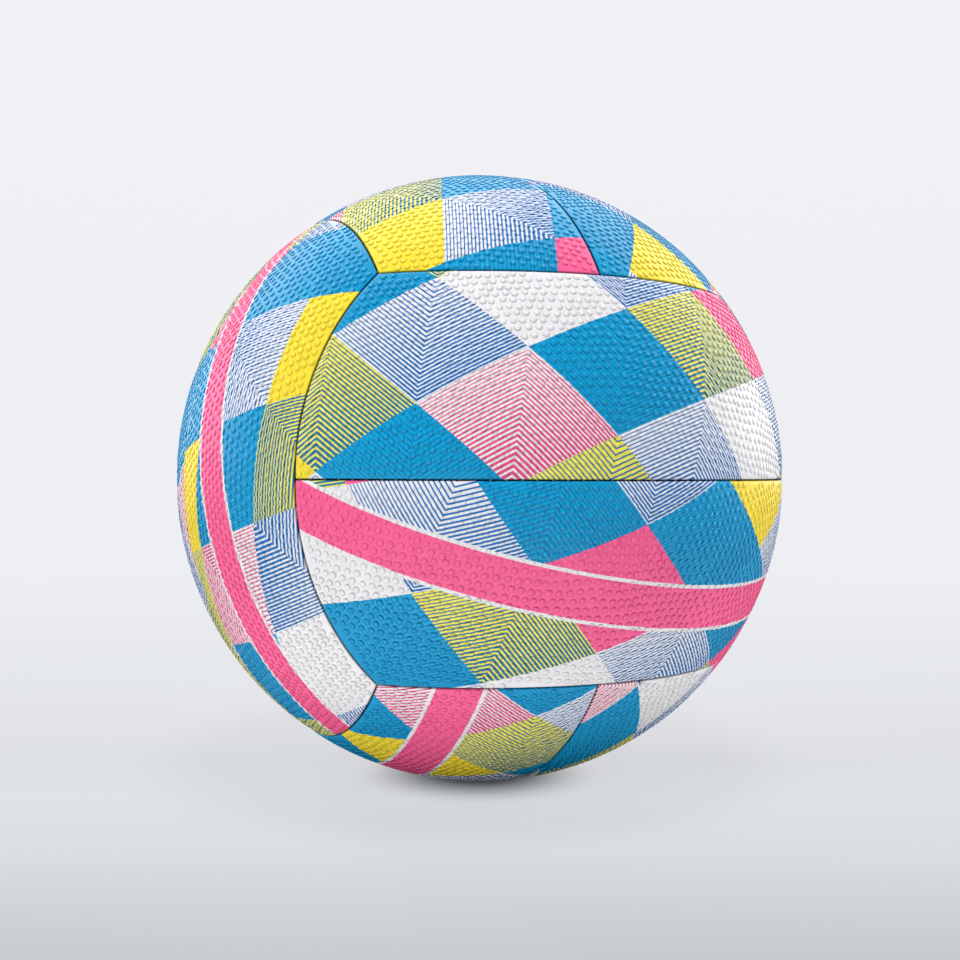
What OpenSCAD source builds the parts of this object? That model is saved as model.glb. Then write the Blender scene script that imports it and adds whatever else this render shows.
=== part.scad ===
// Netball: twelve rubber panels with fabric linings, stitched over an inflated bladder.
// The origin is the centre of the ball. +Z is up and -Y is the front.
// Six faces, one to each axis direction, are split in two by a seam through their middle.
// The middle seams are great circles. The seams round a face lie on smaller circles that
// meet three at a time, where the corners of a cube inside the ball would touch it.

/* [Ball] */
// Diameter of the inflated ball, over the pimples
ball_d = 222.8; // [200:0.2:240]
// Radius of the flat that the ball's own weight presses where it stands
rest_r = 4.1; // [3.5:0.1:6]

/* [Cover] */
// Thickness of a rubber panel, with its pimples
cover_t = 2.4; // [2.3:0.1:3.4]
// Width of the slit between two panels
slit_w = 0.6; // [0.4:0.05:0.9]
// Radius of a panel's rolled outer edge
edge_r = 2; // [1:0.1:2.2]

/* [Lining] */
// Thickness of the fabric under a panel
lining_t = 1.2; // [1:0.1:2]
// How far a lining's turned-in edge reaches towards the bladder
turn_in_h = 1.6; // [1.4:0.1:3]
// Thickness of the turned-in edge
turn_in_t = 1.4; // [1.2:0.1:2]

/* [Seams] */
// Diameter of the sewing thread
thread_d = 0.55; // [0.4:0.05:0.6]
// Length of a stitch across the seam
stitch_l = 1.4; // [1:0.05:1.45]
// Distance from one stitch to the next
stitch_pitch = 4.5; // [3:0.5:9]
// Radius of the hollow along the seam that holds the stitches
stitch_room_r = 1; // [0.95:0.05:1.1]

/* [Bladder] */
// Thickness of the bladder's wall
bladder_t = 1.2; // [0.8:0.1:2]

/* [Valve] */
// Radius of the valve's collar, where it shows in the cover
collar_r = 4.7; // [4:0.1:6]
// How far the collar stays below the top of the pimples
collar_recess = 0.5; // [0.3:0.1:1]
// Radius of the valve's stem inside the bladder
stem_r = 4; // [3.8:0.1:4.5]
// Length of the stem inside the bladder
stem_l = 12; // [10:0.5:18]
// Radius of the flange that joins the valve to the bladder
flange_r = 13; // [9:0.5:18]
// Thickness of the flange
flange_t = 1.1; // [0.9:0.1:1.3]
// Radius of the reinforcing patch inside the bladder
patch_r = 19; // [14:0.5:25]
// Thickness of the patch
patch_t = 1; // [0.8:0.1:1.6]
// Radius of the removable core
core_r = 2.3; // [2:0.1:2.6]
// Radius of the bulb that keeps the core in place
bulb_r = 2.9; // [2.7:0.1:3.1]
// Radius of the channel that takes the inflating needle
needle_r = 1; // [0.8:0.05:1.2]
// Thickness of the closed end that seals round the needle
core_end_t = 1.5; // [1:0.1:2.5]
// Depth of the funnel at the mouth of the channel
funnel_h = 0.7; // [0.4:0.1:1.2]
// Width of the funnel's slope, from the channel to its rim
funnel_w = 0.6; // [0.3:0.1:0.9]

/* [Fits] */
// Gap between two layers, and round the valve
layer_gap = 0.3; // [0.2:0.05:0.35]
// Gap between a seam's running thread and the stitches that lie on it
thread_gap = 0.05; // [0.02:0.01:0.08]

/* [Hidden] */
$fn = 96;

ball_r = ball_d / 2;
half_slit = slit_w / 2;
thread_r = thread_d / 2;

// Angle of a small seam circle above the plane through the ball's centre: a cube's corner
seam_tilt = asin(1 / sqrt(3));
// Angle from the middle of a face to the end of its middle seam
face_half = 90 - seam_tilt;
// Angle along a small circle from one corner of the cube to the next
edge_span = 90;
// Angle up from the plane of the front face's middle seam to the middle of its upper panel
panel_mid = seam_tilt / 2;

// The layers, from the outside in
cover_in_r = ball_r - cover_t;
lining_out_r = cover_in_r - layer_gap;
lining_in_r = lining_out_r - lining_t;
turn_in_r = lining_in_r - turn_in_h;
bladder_r = turn_in_r - layer_gap;
bladder_in_r = bladder_r - bladder_t;

// Radius at which the thread runs, between the cover and its lining
seam_r = cover_in_r - layer_gap / 2;
// Arc along a seam that its thread leaves free before a crossing seam
thread_end = stitch_l / 2 + 2 * layer_gap;
// Depth of the rolled edge's centre, and its distance from the wall: the roll meets both at an angle
roll_share = 0.9;
roll_inset = roll_share * edge_r;
roll_r = ball_r - roll_inset;

// Radii well inside and well outside every layer, and one overrun for all cuts
near_r = bladder_in_r / 2;
far_r = ball_r * 1.3;
overrun = cover_t / 2;

// Height of the slice that the resting flat takes off
rest_h = ball_r - sqrt(ball_r * ball_r - rest_r * rest_r);

// Heights along the valve's axis, from the ball's centre
collar_top = ball_r - collar_recess;
flange_in_r = bladder_r + layer_gap;
flange_mid = flange_in_r + flange_t / 2;
stem_end = bladder_r - stem_l;
bulb_mid = stem_end + stem_l / 2;
core_end = stem_end + core_end_t;
core_top = collar_top - layer_gap;

// Panels and edge seams: a half turn of the first one, then thirds of a turn about the line
// through the corner that the front, right and top faces share
PANELS = ["front_upper", "front_lower", "back_upper", "back_lower",
    "bottom_right", "bottom_left", "top_right", "top_left",
    "left_back", "left_front", "right_back", "right_front"];
EDGES = ["front_left", "front_right", "back_right", "back_left",
    "bottom_front", "bottom_back", "top_back", "top_front",
    "left_bottom", "left_top", "right_top", "right_bottom"];
MIDDLES = ["front", "back", "bottom", "top", "left", "right"];
half_turns = [[0, 0, 0], [0, 180, 0], [0, 0, 180], [180, 0, 0]];
middle_turns = [[0, 0, 0], [0, 0, 180]];
cover_colors = ["deepskyblue", "hotpink", "yellowgreen", "white",
    "hotpink", "deepskyblue", "gold", "lightskyblue",
    "white", "deepskyblue", "deepskyblue", "hotpink"];
// Place of the panel with the valve in the list of panels
valve_panel = 2;

// Puts a child made for the front's upper panel, or its left edge, in the place of number i
module in_place(i) {
    rotate(120 * floor(i / len(half_turns)), [1, 1, 1])
        rotate(half_turns[i % len(half_turns)])
            children();
}

// Puts a child made for the front's middle seam in the place of number i
module in_middle_place(i) {
    rotate(120 * floor(i / len(middle_turns)), [1, 1, 1])
        rotate(middle_turns[i % len(middle_turns)])
            children();
}

// Stands a child up along the valve's axis, in the middle of its panel
module on_valve_axis() {
    in_place(valve_panel) rotate([90 - panel_mid, 0, 0]) children();
}

// Point at distance r out along the ray at angle a, and s to the left of the ray
function beside(r, a, s) = [r * cos(a) - s * sin(a), r * sin(a) + s * cos(a)];

// Section of what a seam on the ray at angle a takes from the panel on one side of it:
// the corner outside the rolled edge, and half of the hollow for the stitches
module seam_cut(a, side) {
    s = side * (half_slit + roll_inset);
    difference() {
        polygon([beside(roll_r, a, -side * overrun), beside(far_r, a, -side * overrun),
            beside(far_r, a, s), beside(roll_r, a, s)]);
        translate(beside(roll_r, a, s)) circle(edge_r);
    }
    translate(beside(seam_r, a, 0)) circle(stitch_room_r);
}

// Section of a layer between a middle seam and the small circle above it, s clear of both
module band_section(r_in, r_out, s) {
    intersection() {
        difference() {
            circle(r_out);
            circle(r_in);
        }
        polygon([beside(near_r, 0, s), beside(far_r, 0, s),
            beside(far_r, seam_tilt, -s), beside(near_r, seam_tilt, -s)]);
    }
}

// Section of the cone that ends a panel at the small circle round its face, s clear of it
module cap_section(s) {
    polygon([beside(near_r, seam_tilt, s), beside(far_r, seam_tilt, s),
        [0, far_r], [0, near_r]]);
}

// One panel's share of a layer, with what its seams take from it
module panel_layer(r_in, r_out, s) {
    difference() {
        intersection() {
            rotate_extrude() difference() {
                band_section(r_in, r_out, s);
                seam_cut(0, 1);
                seam_cut(seam_tilt, -1);
            }
            rotate([90, 0, 0]) rotate_extrude() cap_section(s);
        }
        rotate([90, 0, 0]) rotate_extrude() seam_cut(seam_tilt, 1);
    }
}

// The hollow inside a lining's turned-in edge
module lining_hollow() {
    intersection() {
        rotate_extrude() band_section(turn_in_r - overrun, lining_in_r, half_slit + turn_in_t);
        rotate([90, 0, 0]) rotate_extrude() cap_section(half_slit + turn_in_t);
    }
}

// Round hole for the valve's collar, through all layers outside the bladder
module collar_hole() {
    on_valve_axis() translate([0, 0, bladder_r]) cylinder(h = far_r - bladder_r, r = collar_r + layer_gap);
}

// Rubber panel number i of the cover
module cover_panel(i) {
    color(cover_colors[i]) difference() {
        in_place(i) panel_layer(cover_in_r, ball_r, half_slit);
        if (i == valve_panel) collar_hole();
        translate([0, 0, -ball_r - overrun]) cylinder(h = overrun + rest_h, r = 2 * rest_r);
    }
}

// Fabric lining number i, with the edge that is turned in and sewn
module lining(i) {
    color("antiquewhite") difference() {
        in_place(i) difference() {
            panel_layer(turn_in_r, lining_out_r, half_slit);
            lining_hollow();
        }
        if (i == valve_panel) collar_hole();
    }
}

// Thread along span degrees of the seam circle at angle a: the run, and the stitches that lie on it
module seam_thread(a, span) {
    inner = beside(seam_r - thread_r - thread_gap, a, 0);
    outer = beside(seam_r + thread_r, a, 0);
    run = span - 2 * thread_end / inner[0] * 180 / PI;
    count = floor(run * PI / 180 * inner[0] / stitch_pitch);
    color("ivory") {
        rotate([0, 0, -run / 2]) rotate_extrude(angle = run) translate(inner) circle(thread_r);
        for (i = [0 : count - 1])
            rotate([0, 0, run * ((i + 0.5) / count - 0.5)])
                translate([outer[0], 0, outer[1]])
                    rotate([0, -a, 0])
                        cylinder(h = stitch_l, r = thread_r, center = true);
    }
}

// Thread of the middle seam number i
module middle_thread(i) {
    in_middle_place(i) rotate([0, 0, -90]) seam_thread(0, 2 * face_half);
}

// Thread of the edge seam number i
module edge_thread(i) {
    in_place(i) rotate([90, 0, 0]) rotate([0, 0, 180]) seam_thread(seam_tilt, edge_span);
}

// Layer of a sphere between two radii, cut to a disc on the valve's axis
module disc_layer(r_in, r_out, r) {
    intersection() {
        difference() {
            sphere(r_out);
            sphere(r_in);
        }
        cylinder(h = far_r, r = r);
    }
}

// Butyl bladder, with the hole that its valve's stem goes through
module bladder() {
    color("dimgray") difference() {
        sphere(bladder_r);
        sphere(bladder_in_r);
        on_valve_axis() translate([0, 0, stem_end]) cylinder(h = far_r - stem_end, r = stem_r + layer_gap);
    }
}

// Reinforcing patch under the bladder's wall, round the stem
module valve_patch() {
    color("gray") on_valve_axis() difference() {
        disc_layer(bladder_in_r - layer_gap - patch_t, bladder_in_r - layer_gap, patch_r);
        cylinder(h = far_r, r = stem_r + layer_gap);
    }
}

// Rubber housing: collar in the cover, flange on the bladder and stem inside it
module valve_housing() {
    color("black") on_valve_axis() difference() {
        union() {
            disc_layer(flange_in_r, flange_in_r + flange_t, flange_r);
            translate([0, 0, flange_mid]) cylinder(h = collar_top - flange_mid, r = collar_r);
            translate([0, 0, stem_end]) cylinder(h = flange_mid - stem_end, r = stem_r);
        }
        translate([0, 0, stem_end - overrun])
            cylinder(h = far_r - stem_end, r = core_r + layer_gap);
        translate([0, 0, bulb_mid]) sphere(bulb_r + layer_gap);
    }
}

// Removable core, with the channel for the inflating needle
module valve_core() {
    color("darkslategray") on_valve_axis() difference() {
        union() {
            translate([0, 0, stem_end]) cylinder(h = core_top - stem_end, r = core_r);
            translate([0, 0, bulb_mid]) sphere(bulb_r);
        }
        translate([0, 0, core_end]) cylinder(h = far_r - core_end, r = needle_r);
        translate([0, 0, core_top - funnel_h])
            cylinder(h = funnel_h * 2, r1 = needle_r, r2 = needle_r + funnel_w * 2);
    }
}

for (i = [0 : len(PANELS) - 1]) {
    cover_panel(i);
    lining(i);
    edge_thread(i);
}
for (i = [0 : len(MIDDLES) - 1]) {
    middle_thread(i);
}
bladder();
valve_patch();
valve_housing();
valve_core();
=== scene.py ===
# Netball, size 5: twelve pimpled rubber panels, sewn together over a lined bladder.
# Each panel is made in the place of the front's upper one and then turned into its own.
import math

import bmesh
import bpy
import numpy as np
from mathutils import Matrix, Vector


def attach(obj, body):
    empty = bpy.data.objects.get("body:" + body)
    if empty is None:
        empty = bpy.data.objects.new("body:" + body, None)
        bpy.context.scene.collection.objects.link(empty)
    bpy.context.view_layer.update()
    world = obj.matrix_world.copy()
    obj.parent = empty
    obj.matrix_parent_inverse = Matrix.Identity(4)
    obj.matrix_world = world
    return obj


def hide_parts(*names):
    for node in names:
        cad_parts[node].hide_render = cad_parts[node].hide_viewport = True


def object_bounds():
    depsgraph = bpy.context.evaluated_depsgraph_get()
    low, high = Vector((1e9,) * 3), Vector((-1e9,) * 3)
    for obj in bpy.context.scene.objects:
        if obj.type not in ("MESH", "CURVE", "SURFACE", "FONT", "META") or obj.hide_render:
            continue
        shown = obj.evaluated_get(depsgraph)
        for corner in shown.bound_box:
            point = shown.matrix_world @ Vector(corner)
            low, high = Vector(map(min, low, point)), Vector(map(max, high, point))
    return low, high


mm = 0.001

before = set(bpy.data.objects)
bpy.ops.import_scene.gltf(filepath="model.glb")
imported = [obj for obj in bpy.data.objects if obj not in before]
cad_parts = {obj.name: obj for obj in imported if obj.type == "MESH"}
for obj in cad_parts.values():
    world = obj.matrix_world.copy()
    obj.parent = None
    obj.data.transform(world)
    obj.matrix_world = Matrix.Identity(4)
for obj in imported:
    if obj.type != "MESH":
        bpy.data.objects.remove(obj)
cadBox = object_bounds()
print("frame loaded:", len(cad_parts), "CAD nodes")

ball = {
    "radius": 111.4 * mm,  # over the pimples
    "coverThickness": 2.4 * mm,  # with the pimples
    "body": "root",
}
backRadius = ball["radius"] - ball["coverThickness"]
seamTilt = math.asin(1 / math.sqrt(3))  # a small seam circle above the plane of its face's middle seam
capAngle = math.pi / 2 - seamTilt  # from the middle of a face to the seam round it
panelTilt = seamTilt / 2  # the middle of the first panel above the level
middleWay = Vector((0, -math.cos(panelTilt), math.sin(panelTilt)))  # out through the first panel's middle
middleTurn = math.pi / 2 - panelTilt  # about X, from straight up to that way

halfTurns = [
    Matrix.Identity(4),
    Matrix.Rotation(math.pi, 4, "Y"),
    Matrix.Rotation(math.pi, 4, "Z"),
    Matrix.Rotation(math.pi, 4, "X"),
]
middleTurns = [Matrix.Identity(4), Matrix.Rotation(math.pi, 4, "Z")]


def turnOf(number, turns):  # the turn that puts a shape made for the first place into this one
    third = Matrix.Rotation(math.radians(120) * (number // len(turns)), 4, Vector((1, 1, 1)))
    return third @ turns[number % len(turns)]


def linear(hexColour):  # sRGB hex to linear light
    parts = [int(hexColour[i : i + 2], 16) / 255 for i in (1, 3, 5)]
    return [*(p / 12.92 if p <= 0.04045 else ((p + 0.055) / 1.055) ** 2.4 for p in parts), 1.0]


# Adds a node and gives its outputs. Its inputs are a list in their order or a dictionary by socket.
def addNode(tree, kind, settings=None, inputs=None):
    node = tree.nodes.new(kind)
    for name, value in (settings or {}).items():
        if name == "stops":  # a ramp's places and colours
            ramp = node.color_ramp
            ramp.interpolation, stops = value
            while len(ramp.elements) < len(stops):
                ramp.elements.new(1.0)
            for element, (place, colour) in zip(ramp.elements, stops):
                element.position, element.color = place, colour
        elif name == "captured":  # a value that the points keep when they move
            node.capture_items.new(value, "kept")
        else:
            setattr(node, name, value)
    inputs = inputs or {}
    for socket, value in inputs.items() if isinstance(inputs, dict) else enumerate(inputs):
        if isinstance(value, bpy.types.NodeSocket):
            tree.links.new(value, node.inputs[socket])
        else:
            node.inputs[socket].default_value = value
    return node.outputs


# Kinds of node and settings that come up often
mathNode, vectorNode, rangeNode = "ShaderNodeMath", "ShaderNodeVectorMath", "ShaderNodeMapRange"
mixNode, blendNode, noiseNode = "ShaderNodeMix", "ShaderNodeMixShader", "ShaderNodeTexNoise"
plus, minus, times = {"operation": "ADD"}, {"operation": "SUBTRACT"}, {"operation": "MULTIPLY"}
timesPlus = {"operation": "MULTIPLY_ADD"}
share, whole, remainder = {"operation": "DIVIDE"}, {"operation": "FLOOR"}, {"operation": "FLOORED_MODULO"}
above, below = {"operation": "GREATER_THAN"}, {"operation": "LESS_THAN"}
dot, length = {"operation": "DOT_PRODUCT"}, {"operation": "LENGTH"}
scaled, unit = {"operation": "SCALE"}, {"operation": "NORMALIZE"}
colours = {"data_type": "RGBA"}  # for a mix: its share at 0, its colours at 6 and 7 and the result at 2
smooth = {"interpolation_type": "SMOOTHSTEP"}


def between(value, ends, results=(0.0, 1.0)):  # what a Map Range takes: a value's ends and their results
    return [value, *ends, *results]


# The print: a harlequin of diamonds, some lined, with a straight band over some panels
ink = {  # as sRGB
    "blue": "#00a3d9",
    "blueLine": "#008abf",
    "pink": "#fc649b",
    "pinkLine": "#e45389",
    "white": "#ecebee",
    "yellow": "#f8e03c",
    "lime": "#f6e95a",
    "limeLine": "#2c7da6",
    "skyLine": "#1c76c0",
}
# Grounds and lines of the thirteen patches that repeat over the print
patches = [
    ("blue", "blueLine"),
    ("blue", "blueLine"),
    ("lime", "limeLine"),
    ("lime", "limeLine"),
    ("white", "skyLine"),
    ("white", "skyLine"),
    ("pink", "pink"),
    ("blue", "blueLine"),
    ("white", "white"),
    ("blue", "blueLine"),
    ("white", "pinkLine"),
    ("white", "skyLine"),
    ("yellow", "yellow"),
]
printed = {  # sizes in mm
    "diamondWidth": 62.0,
    "diamondHeight": 43.0,
    "alongStep": 3,  # patches to move on in the list for each diamond along and across
    "acrossStep": 5,
    "linePitch": 1.6,
    "thinLine": 0.3,  # share of the pitch that a line takes where it is thinnest
    "lineGrowth": 0.34,
    "pitchChange": 0.12,  # how much closer the lines come across a diamond
    "bandWidth": 14.0,
    "keyline": 1.2,
    "bandless": 1000,  # how far off the band lies where a panel has none
}


def makePrint():
    tree = bpy.data.node_groups.new("harlequinPrint", "ShaderNodeTree")
    tree.interface.new_socket(name="Plan", in_out="INPUT", socket_type="NodeSocketVector")
    tree.interface.new_socket(name="From Band", in_out="INPUT", socket_type="NodeSocketFloat")
    tree.interface.new_socket(name="Colour", in_out="OUTPUT", socket_type="NodeSocketColor")
    given = addNode(tree, "NodeGroupInput")
    wholes, parts = [], []
    for sign in (1, -1):  # the two ways along the diamonds' sides
        way = (1 / printed["diamondWidth"], sign / printed["diamondHeight"], 0)
        side = addNode(tree, vectorNode, dot, [given["Plan"], way])["Value"]
        wholes.append(addNode(tree, mathNode, whole, [side])[0])
        parts.append(addNode(tree, mathNode, minus, [side, wholes[-1]])[0])
    # Each diamond takes its patch from the list
    along = addNode(tree, mathNode, times, [wholes[0], printed["alongStep"]])[0]
    across = addNode(tree, mathNode, times, [wholes[1], printed["acrossStep"]])[0]
    choice = addNode(tree, mathNode, plus, [along, across])[0]
    for settings, other in ((remainder, len(patches)), (plus, 0.5), (share, len(patches))):
        choice = addNode(tree, mathNode, settings, [choice, other])[0]
    chosen = []
    for part in (0, 1):  # the ground, then the lines
        stops = [(i / len(patches), linear(ink[patch[part]])) for i, patch in enumerate(patches)]
        ramp = addNode(tree, "ShaderNodeValToRGB", {"stops": ("CONSTANT", stops)}, [choice])
        chosen.append(ramp["Color"])
    # Lines run along two sides of each diamond and meet in its middle, upwards and downwards by turns
    across = addNode(tree, mathNode, plus, parts)[0]
    across = addNode(tree, mathNode, minus, [across, 1.0])[0]
    across = addNode(tree, mathNode, {"operation": "ABSOLUTE"}, [across])[0]
    upwards = addNode(tree, mathNode, minus, parts)[0]
    byTurns = addNode(tree, mathNode, plus, wholes)[0]
    byTurns = addNode(tree, mathNode, remainder, [byTurns, 2.0])[0]
    byTurns = addNode(tree, mathNode, timesPlus, [byTurns, 2.0, -1.0])[0]
    chevron = addNode(tree, mathNode, timesPlus, [upwards, byTurns, across])[0]
    closer = addNode(tree, mathNode, timesPlus, [chevron, printed["pitchChange"], 1.0])[0]
    spaced = addNode(tree, mathNode, times, [chevron, closer])[0]
    lineCount = printed["diamondHeight"] / 2 / printed["linePitch"]
    place = addNode(tree, mathNode, times, [spaced, lineCount])[0]
    place = addNode(tree, mathNode, {"operation": "FRACT"}, [place])[0]
    width = addNode(tree, mathNode, timesPlus, [parts[1], printed["lineGrowth"], printed["thinLine"]])[0]
    onLine = addNode(tree, mathNode, below, [place, width])[0]
    drawn = addNode(tree, mixNode, colours, {0: onLine, 6: chosen[0], 7: chosen[1]})[2]
    # The band, over a keyline on each side
    away = addNode(tree, mathNode, {"operation": "ABSOLUTE"}, [given["From Band"]])[0]
    for colour, more in (("white", printed["keyline"]), ("pink", 0)):
        reached = addNode(tree, mathNode, below, [away, printed["bandWidth"] / 2 + more])[0]
        drawn = addNode(tree, mixNode, colours, {0: reached, 6: drawn, 7: linear(ink[colour])})[2]
    addNode(tree, "NodeGroupOutput", None, {"Colour": drawn})
    return tree


def newMaterial(name):
    material = bpy.data.materials.new(name)
    material.use_nodes = True
    material.node_tree.nodes.clear()
    return material, material.node_tree


def surface(tree, inputs):
    shaded = addNode(tree, "ShaderNodeBsdfPrincipled", None, inputs)[0]
    addNode(tree, "ShaderNodeOutputMaterial", None, {"Surface": shaded})


rubberSkin = {
    "inkPatches": 3 * mm,  # size of the places where the ink lies thicker or thinner
    "inkSpread": (0.3, 0.7),  # the noise between which the ink's tone changes
    "inkTones": (0.95, 1.04),
    "grain": 0.5 * mm,
    "bump": {"Strength": 0.25, "Distance": 0.04 * mm},
    "roughness": (0.34, 0.44),
    "steeper": 1.8,  # share added to the pimples' slopes in the shading alone
    "shader": {"IOR": 1.52, "Specular IOR Level": 0.5},
}
printGroup = makePrint()


# Natural rubber, moulded with pimples and screen printed: a satin skin, a little uneven in its ink
def printedRubber(name, turn, shift, band):
    material, tree = newMaterial("printedRubber_" + name)
    plan = addNode(tree, "ShaderNodeUVMap", {"uv_map": "printPlan"})["UV"]
    laid = {"Vector": plan, "Location": (*shift, 0), "Rotation": (0, 0, math.radians(turn))}
    laid = addNode(tree, "ShaderNodeMapping", None, laid)[0]
    angle, offset = band if band else (0, printed["bandless"])
    across = (-math.sin(math.radians(angle)), math.cos(math.radians(angle)), 0)
    fromBand = addNode(tree, vectorNode, dot, [plan, across])["Value"]
    fromBand = addNode(tree, mathNode, minus, [fromBand, offset])[0]
    drawn = {"Plan": laid, "From Band": fromBand}
    drawn = addNode(tree, "ShaderNodeGroup", {"node_tree": printGroup}, drawn)["Colour"]
    place = addNode(tree, "ShaderNodeTexCoord")["Object"]
    patchy = {"Vector": place, "Scale": 1 / rubberSkin["inkPatches"], "Detail": 3.0}
    patchy = addNode(tree, noiseNode, None, patchy)[0]
    amount = between(patchy, rubberSkin["inkSpread"], rubberSkin["inkTones"])
    amount = addNode(tree, rangeNode, None, amount)[0]
    inked = addNode(tree, mixNode, {**colours, "blend_type": "MULTIPLY"}, {0: 1.0, 6: drawn, 7: amount})
    grain = {"Vector": place, "Scale": 1 / rubberSkin["grain"], "Detail": 2.0}
    grain = addNode(tree, noiseNode, None, grain)[0]
    rough = addNode(tree, rangeNode, None, between(grain, (0.0, 1.0), rubberSkin["roughness"]))[0]
    # The pimples' sides catch the light as if they were steeper
    facing = addNode(tree, "ShaderNodeNewGeometry")["Normal"]
    outwards = addNode(tree, vectorNode, unit, [place])[0]
    slope = addNode(tree, vectorNode, minus, [facing, outwards])[0]
    slope = addNode(tree, vectorNode, scaled, {0: slope, "Scale": rubberSkin["steeper"]})[0]
    steeper = addNode(tree, vectorNode, plus, [facing, slope])[0]
    steeper = addNode(tree, vectorNode, unit, [steeper])[0]
    bump = {"Height": grain, "Normal": steeper, **rubberSkin["bump"]}
    bump = addNode(tree, "ShaderNodeBump", None, bump)[0]
    skin = {"Base Color": inked[2], "Roughness": rough, "Normal": bump}
    surface(tree, {**skin, **rubberSkin["shader"]})
    return material


# The other materials: a noise or a weave mixes two tones, and raises the surface unless a second noise does
looks = {
    # The unprinted back and cut edges of the rubber: dark, matt, marked by the cloth it was pressed on
    "pressedRubberBack": {
        "tones": ("#3a3130", "#4b4140"),
        "noises": [(1.5 * mm, 3.0)],  # size and detail
        "bump": {"Strength": 0.4, "Distance": 0.1 * mm},
        "shader": {"Roughness": 0.8, "IOR": 1.52},
    },
    # Waxed polyester thread: nearly white and twisted. Its tones are painted darker than that as painted
    # shade of the groove, and it turns darker still, a painted shade, where it runs deep in the groove
    "waxedThread": {
        "tones": ("#97877e", "#cdbdb3"),
        "noises": [(0.25 * mm, 1.0)],
        "paintedShade": ("#3a2f2c", 0.9 * mm),  # painted shade deep in the groove, and how far above the cover's back it fades into the thread's tones
        "bump": {"Strength": 0.5, "Distance": 0.08 * mm},
        "shader": {"Roughness": 0.6},
    },
    # Woven cotton and polyester lining: warp and weft show as fine ridges, 1.6 mm apart
    "wovenLining": {
        "tones": ("#c9c1ae", "#efe9dc"),
        "weave": {"Scale": 1 / (0.8 * mm) / 6.28, "Distortion": 0.6},
        "bump": {"Strength": 0.5, "Distance": 0.1 * mm},
        "shader": {"Roughness": 0.85},
    },
    # Butyl rubber, moulded: black with a greyish bloom of talc
    "butylRubber": {
        "tones": ("#151516", "#2e2e30"),
        "noises": [(7.2 * mm, 4.0), (0.9 * mm, 2.0)],
        "roughness": (0.52, 0.68),
        "bump": {"Strength": 0.3, "Distance": 0.05 * mm},
        "shader": {"IOR": 1.52},
    },
    # The valve's rubber, moulded: the same, but smoother and with a finer grain
    "mouldedValveRubber": {
        "tones": ("#101012", "#232326"),
        "noises": [(4 * mm, 4.0), (0.5 * mm, 2.0)],
        "roughness": (0.37, 0.53),
        "bump": {"Strength": 0.3, "Distance": 0.05 * mm},
        "shader": {"IOR": 1.52},
    },
}


def makeLook(name, look):
    material, tree = newMaterial(name)
    place = addNode(tree, "ShaderNodeTexCoord")["Object"]
    patterns = []
    for size, detail in look.get("noises", ()):
        noise = {"Vector": place, "Scale": 1 / size, "Detail": detail}
        patterns.append(addNode(tree, noiseNode, None, noise)[0])
    if "weave" in look:
        waves = []
        for direction in ("X", "Z"):
            settings = {"wave_type": "BANDS", "bands_direction": direction}
            wave = addNode(tree, "ShaderNodeTexWave", settings, {"Vector": place, **look["weave"]})
            waves.append(wave["Fac"])
        patterns.append(addNode(tree, mathNode, {"operation": "MAXIMUM"}, waves)[0])
    dark, light = [linear(tone) for tone in look["tones"]]
    tone = addNode(tree, mixNode, colours, {0: patterns[0], 6: dark, 7: light})[2]
    # Painted shade: at and below the cover's back the thread takes the dark tone, which fades out over the
    # given depth above it
    if "paintedShade" in look:
        paintedShade, depth = look["paintedShade"]
        height = addNode(tree, vectorNode, length, [place])["Value"]
        height = addNode(tree, rangeNode, None, between(height, (backRadius, backRadius + depth)))[0]
        tone = addNode(tree, mixNode, colours, {0: height, 6: linear(paintedShade), 7: tone})[2]
    bump = addNode(tree, "ShaderNodeBump", None, {"Height": patterns[-1], **look["bump"]})[0]
    inputs = {"Base Color": tone, "Normal": bump, **look["shader"]}
    if "roughness" in look:
        rough = between(patterns[0], (0.0, 1.0), look["roughness"])
        inputs["Roughness"] = addNode(tree, rangeNode, None, rough)[0]
    surface(tree, inputs)
    return material


backing, thread, lining, butyl, moulded = [makeLook(name, look) for name, look in looks.items()]
for name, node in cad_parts.items():
    if name.startswith(("panel", "thread")):  # these get pieces of their own
        continue
    chosen = butyl if name in ("bladder", "valve_patch") else moulded
    if name.startswith("lining"):
        chosen = lining
    if not node.material_slots:
        node.data.materials.append(chosen)
    for slot in node.material_slots:
        slot.material = chosen
print("materials made")

# The cover
cover = {
    "pimpleHeight": 0.27 * mm,
    "pimpleRadius": 1.22 * mm,
    "pimpleSizes": (0.86, 1.0),  # the smallest and the largest, as shares of it
    "pimplePitch": 3.1 * mm,
    "pimpleWander": 5 * mm,  # how far the rows sway
    "pimpleWaves": 24 * mm,  # from one sway to the next
    "pimpleJitter": 0.28 * mm,
    "pimpleEdge": 1.35 * mm,  # nearest a pimple's middle comes to a seam's middle
    "pimpleRings": [(1.0, -0.25), (0.94, 0.45), (0.7, 0.88)],  # shares of its radius and height
    "pimpleSides": 10,
    "slit": 0.36 * mm,  # between two panels, drawn tight by the thread
    "edgeRadius": 0.5 * mm,  # of the rolled edge beside a seam
    "edgeSteps": 6,
    "settlingSteps": (1.0 * mm, 2.3 * mm, 4.0 * mm),
    "pillowDrop": 0.15 * mm,  # how far the seams draw the cover in
    "pillowReach": 6 * mm,
    "gridStep": 2 * mm,
    "valveHole": 5.0 * mm,
    "valveClear": 8.6 * mm,  # no pimples nearer to the valve
    # Profile of the ring beside the hole, as mm out from the hole's edge and up from the skin
    "valveRing": [(0, -0.6), (0, 0.2475), (0.25, 0.45), (1.7, 0.45), (2.4, 0.1125), (2.65, -0.6)],
    "valveSides": 72,
    "drillLength": 20 * mm,
    "dropFrom": 1.02,  # where the points start down onto the skin, in ball radii
    "dropReach": 0.1,
    "sparePoints": 9,  # more in each row and column than the panel has room for, because the rows sway
    "seedShift": 7.3,  # from one panel's place in the noise to the next one's
}
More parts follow.
